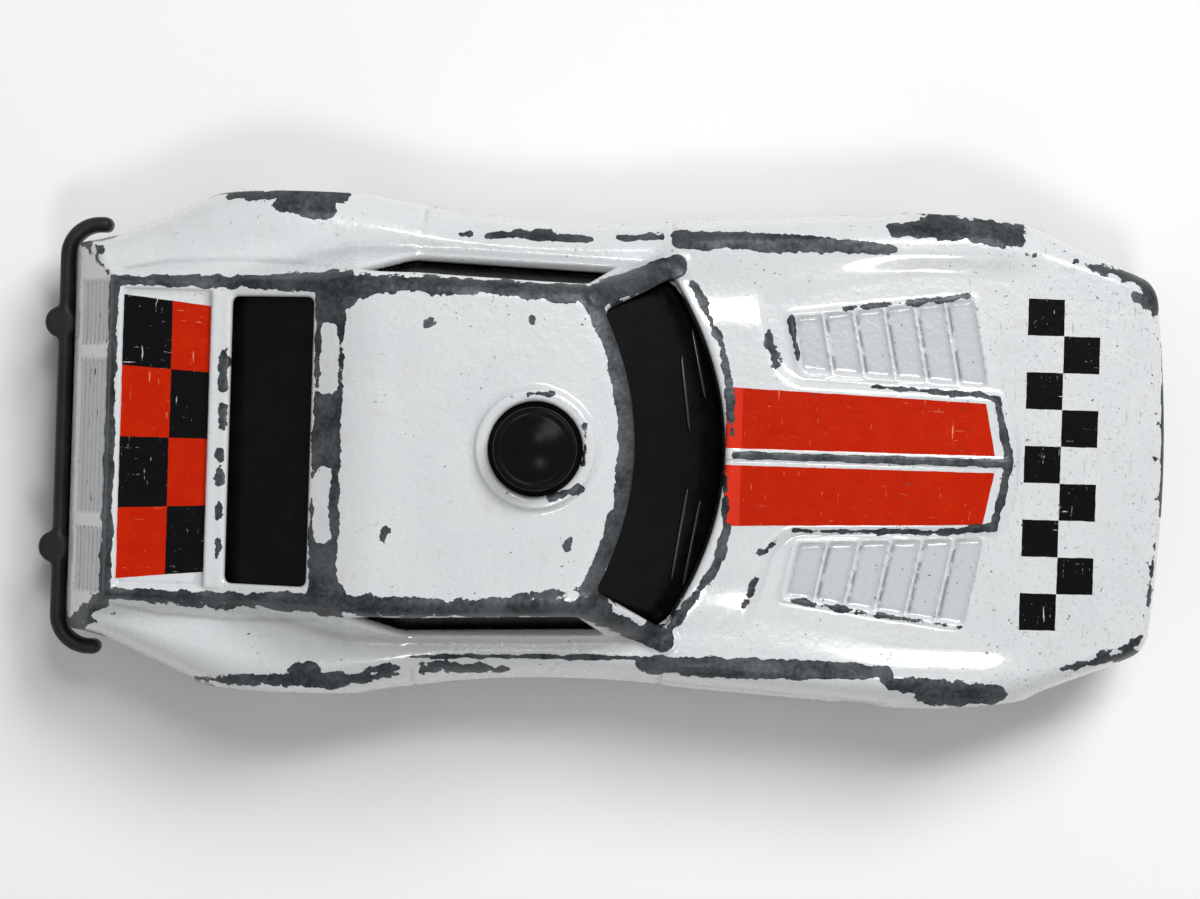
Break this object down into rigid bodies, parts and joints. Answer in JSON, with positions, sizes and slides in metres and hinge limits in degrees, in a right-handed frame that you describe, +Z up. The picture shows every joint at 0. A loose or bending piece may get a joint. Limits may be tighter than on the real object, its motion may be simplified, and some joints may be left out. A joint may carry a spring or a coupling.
{
  "type": "toy police car",
  "caption": "Pocket-size die-cast toy police coupe: cast shell with smoked windows and roof beacon on a plastic base with wire axles and free-rolling wheels.",
  "frame": {"origin": "on the ground under the middle of the overall length and width", "axes": "+X towards the nose, +Y to the car's left, +Z up"},
  "size_m": [0.074, 0.0326, 0.0222],
  "materials": {
    "paint": "gloss, chipped",
    "smoked_plastic": "gloss",
    "interior_plastic": "satin",
    "chassis_plastic": "satin",
    "axle_wire": "drawn",
    "tyre": "matt",
    "rim_chrome": "bright"
  },
  "bodies": {
    "chassis": {"body_shell": "paint", "window_insert": "smoked_plastic", "interior_tub": "interior_plastic", "base_plate": "chassis_plastic"},
    "front_axle": {"front_axle": "axle_wire"},
    "rear_axle": {"rear_axle": "axle_wire"},
    "wheel_front_left": {"tyre_front_left": "tyre", "rim_front_left": "rim_chrome"},
    "wheel_front_right": {"tyre_front_right": "tyre", "rim_front_right": "rim_chrome"},
    "wheel_rear_left": {"tyre_rear_left": "tyre", "rim_rear_left": "rim_chrome"},
    "wheel_rear_right": {"tyre_rear_right": "tyre", "rim_rear_right": "rim_chrome"}
  },
  "joints": [
    {"name": "front_axle_spin", "type": "hinge", "parent": "chassis", "child": "front_axle", "pos_m": [0.02356, 0, 0.0052], "axis": [0, 1, 0], "continuous": true},
    {"name": "rear_axle_spin", "type": "hinge", "parent": "chassis", "child": "rear_axle", "pos_m": [-0.02044, 0, 0.0056], "axis": [0, 1, 0], "continuous": true},
    {"name": "wheel_front_left_spin", "type": "hinge", "parent": "front_axle", "child": "wheel_front_left", "pos_m": [0.02356, 0.0132, 0.0052], "axis": [0, 1, 0], "continuous": true},
    {"name": "wheel_front_right_spin", "type": "hinge", "parent": "front_axle", "child": "wheel_front_right", "pos_m": [0.02356, -0.0132, 0.0052], "axis": [0, 1, 0], "continuous": true},
    {"name": "wheel_rear_left_spin", "type": "hinge", "parent": "rear_axle", "child": "wheel_rear_left", "pos_m": [-0.02044, 0.0133, 0.0056], "axis": [0, 1, 0], "continuous": true},
    {"name": "wheel_rear_right_spin", "type": "hinge", "parent": "rear_axle", "child": "wheel_rear_right", "pos_m": [-0.02044, -0.0133, 0.0056], "axis": [0, 1, 0], "continuous": true}
  ]
}
